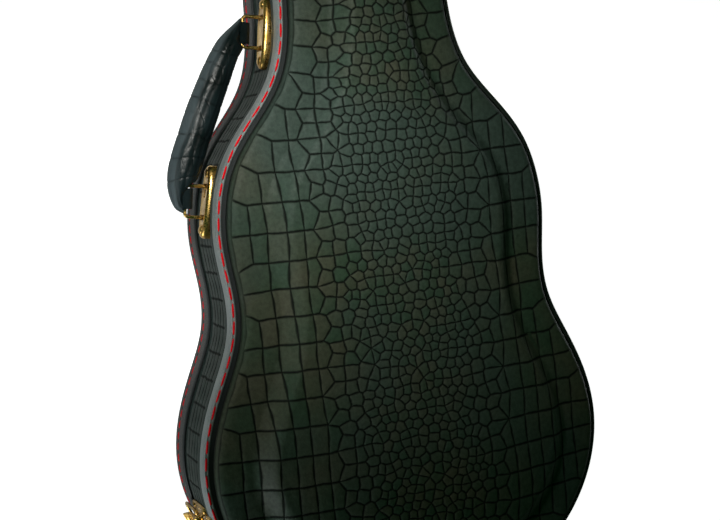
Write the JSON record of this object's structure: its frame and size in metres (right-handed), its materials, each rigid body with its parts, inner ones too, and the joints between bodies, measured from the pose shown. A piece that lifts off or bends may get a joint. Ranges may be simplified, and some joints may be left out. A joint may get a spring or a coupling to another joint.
{
  "type": "ukulele case",
  "caption": "Arched-lid hard case for a small four-string instrument, in crocodile-embossed leatherette with stitched edge bands, a padded carrying handle, brass draw latches and hinges.",
  "frame": {"origin": "on the flat back, under the widest part of the lower bout on the centre line", "axes": "+Z through the lid when the case lies on its back, +Y towards the neck and head end, the handle at -X and the hinges at +X"},
  "size_m": [0.2721, 0.7434, 0.1062],
  "materials": {
    "leatherette": "embossed satin",
    "band_leather": "smooth satin",
    "grip_leather": "gloss",
    "brass": "polished, slightly dull",
    "plush": "plush",
    "plywood": "sanded"
  },
  "bodies": {
    "base": {"base_rim": "leatherette", "rear_band": "band_leather", "back_panel": "leatherette", "base_liner": "plush", "floor_padding": "plush", "side_padding": "plush", "neck_cradle": "plush", "compartment_wall": "plush", "handle_plate_upper": "brass", "handle_plate_lower": "brass", "latch_tail_plate": "brass", "latch_neck_plate": "brass", "latch_head_plate": "brass", "hinge_tail_base_leaf": "brass", "hinge_head_base_leaf": "brass", "hinge_tail_pin": "brass", "hinge_head_pin": "brass"},
    "lid": {"lid_frame": "plywood", "lid_band": "band_leather", "lid_panel": "leatherette", "lid_padding": "plush", "latch_tail_catch": "brass", "latch_neck_catch": "brass", "latch_head_catch": "brass", "hinge_tail_lid_leaf": "brass", "hinge_head_lid_leaf": "brass"},
    "compartment_lid": {"compartment_lid": "plush", "compartment_tab": "grip_leather"},
    "handle_ring_upper": {"handle_ring_upper": "brass"},
    "handle_ring_lower": {"handle_ring_lower": "brass"},
    "handle_grip": {"handle_grip": "grip_leather"},
    "latch_tail_lever": {"latch_tail_lever": "brass"},
    "latch_tail_loop": {"latch_tail_loop": "brass"},
    "latch_neck_lever": {"latch_neck_lever": "brass"},
    "latch_neck_loop": {"latch_neck_loop": "brass"},
    "latch_head_lever": {"latch_head_lever": "brass"},
    "latch_head_loop": {"latch_head_loop": "brass"}
  },
  "joints": [
    {"name": "lid_hinge", "type": "hinge", "parent": "base", "child": "lid", "pos_m": [0.13258, 0, 0.06615], "axis": [-0.124, 0.9923, 0], "range_deg": [0, 100]},
    {"name": "handle_swing", "type": "hinge", "parent": "base", "child": "handle_ring_upper", "pos_m": [-0.05842, 0.24752, 0.0575], "axis": [0.1392, 0.9903, 0], "range_deg": [-44, 44]},
    {"name": "handle_lower_swing", "type": "hinge", "parent": "base", "child": "handle_ring_lower", "pos_m": [-0.10495, 0.15046, 0.0575], "axis": [0.1392, 0.9903, 0], "range_deg": [-44, 44]},
    {"name": "handle_grip_turn", "type": "hinge", "parent": "handle_ring_upper", "child": "handle_grip", "pos_m": [-0.07129, 0.24933, 0.0575], "axis": [0.1392, 0.9903, 0], "range_deg": [-44, 44]},
    {"name": "compartment_lid_hinge", "type": "hinge", "parent": "base", "child": "compartment_lid", "pos_m": [0, 0.314, 0.0349], "axis": [1, 0, 0], "range_deg": [0, 90]},
    {"name": "latch_tail_lever_turn", "type": "hinge", "parent": "base", "child": "latch_tail_lever", "pos_m": [-0.12948, -0.04472, 0.056], "axis": [-0.33, 0.944, 0], "range_deg": [0, 110]},
    {"name": "latch_tail_loop_turn", "type": "hinge", "parent": "latch_tail_lever", "child": "latch_tail_loop", "pos_m": [-0.12825, -0.04429, 0.049], "axis": [0.33, -0.944, 0], "range_deg": [-180, 0]},
    {"name": "latch_neck_lever_turn", "type": "hinge", "parent": "base", "child": "latch_neck_lever", "pos_m": [-0.05777, 0.36198, 0.056], "axis": [-0.0031, 1, 0], "range_deg": [0, 110]},
    {"name": "latch_neck_loop_turn", "type": "hinge", "parent": "latch_neck_lever", "child": "latch_neck_loop", "pos_m": [-0.05647, 0.36199, 0.049], "axis": [0.0031, -1, 0], "range_deg": [-180, 0]},
    {"name": "latch_head_lever_turn", "type": "hinge", "parent": "base", "child": "latch_head_lever", "pos_m": [0, 0.6147, 0.056], "axis": [1, 0, 0], "range_deg": [0, 110]},
    {"name": "latch_head_loop_turn", "type": "hinge", "parent": "latch_head_lever", "child": "latch_head_loop", "pos_m": [0, 0.6134, 0.049], "axis": [-1, 0, 0], "range_deg": [-180, 0]}
  ],
  "couplings": [
    {"joint": "handle_lower_swing", "follows": "handle_swing", "ratio": 1},
    {"joint": "handle_grip_turn", "follows": "handle_swing", "ratio": -1}
  ]
}
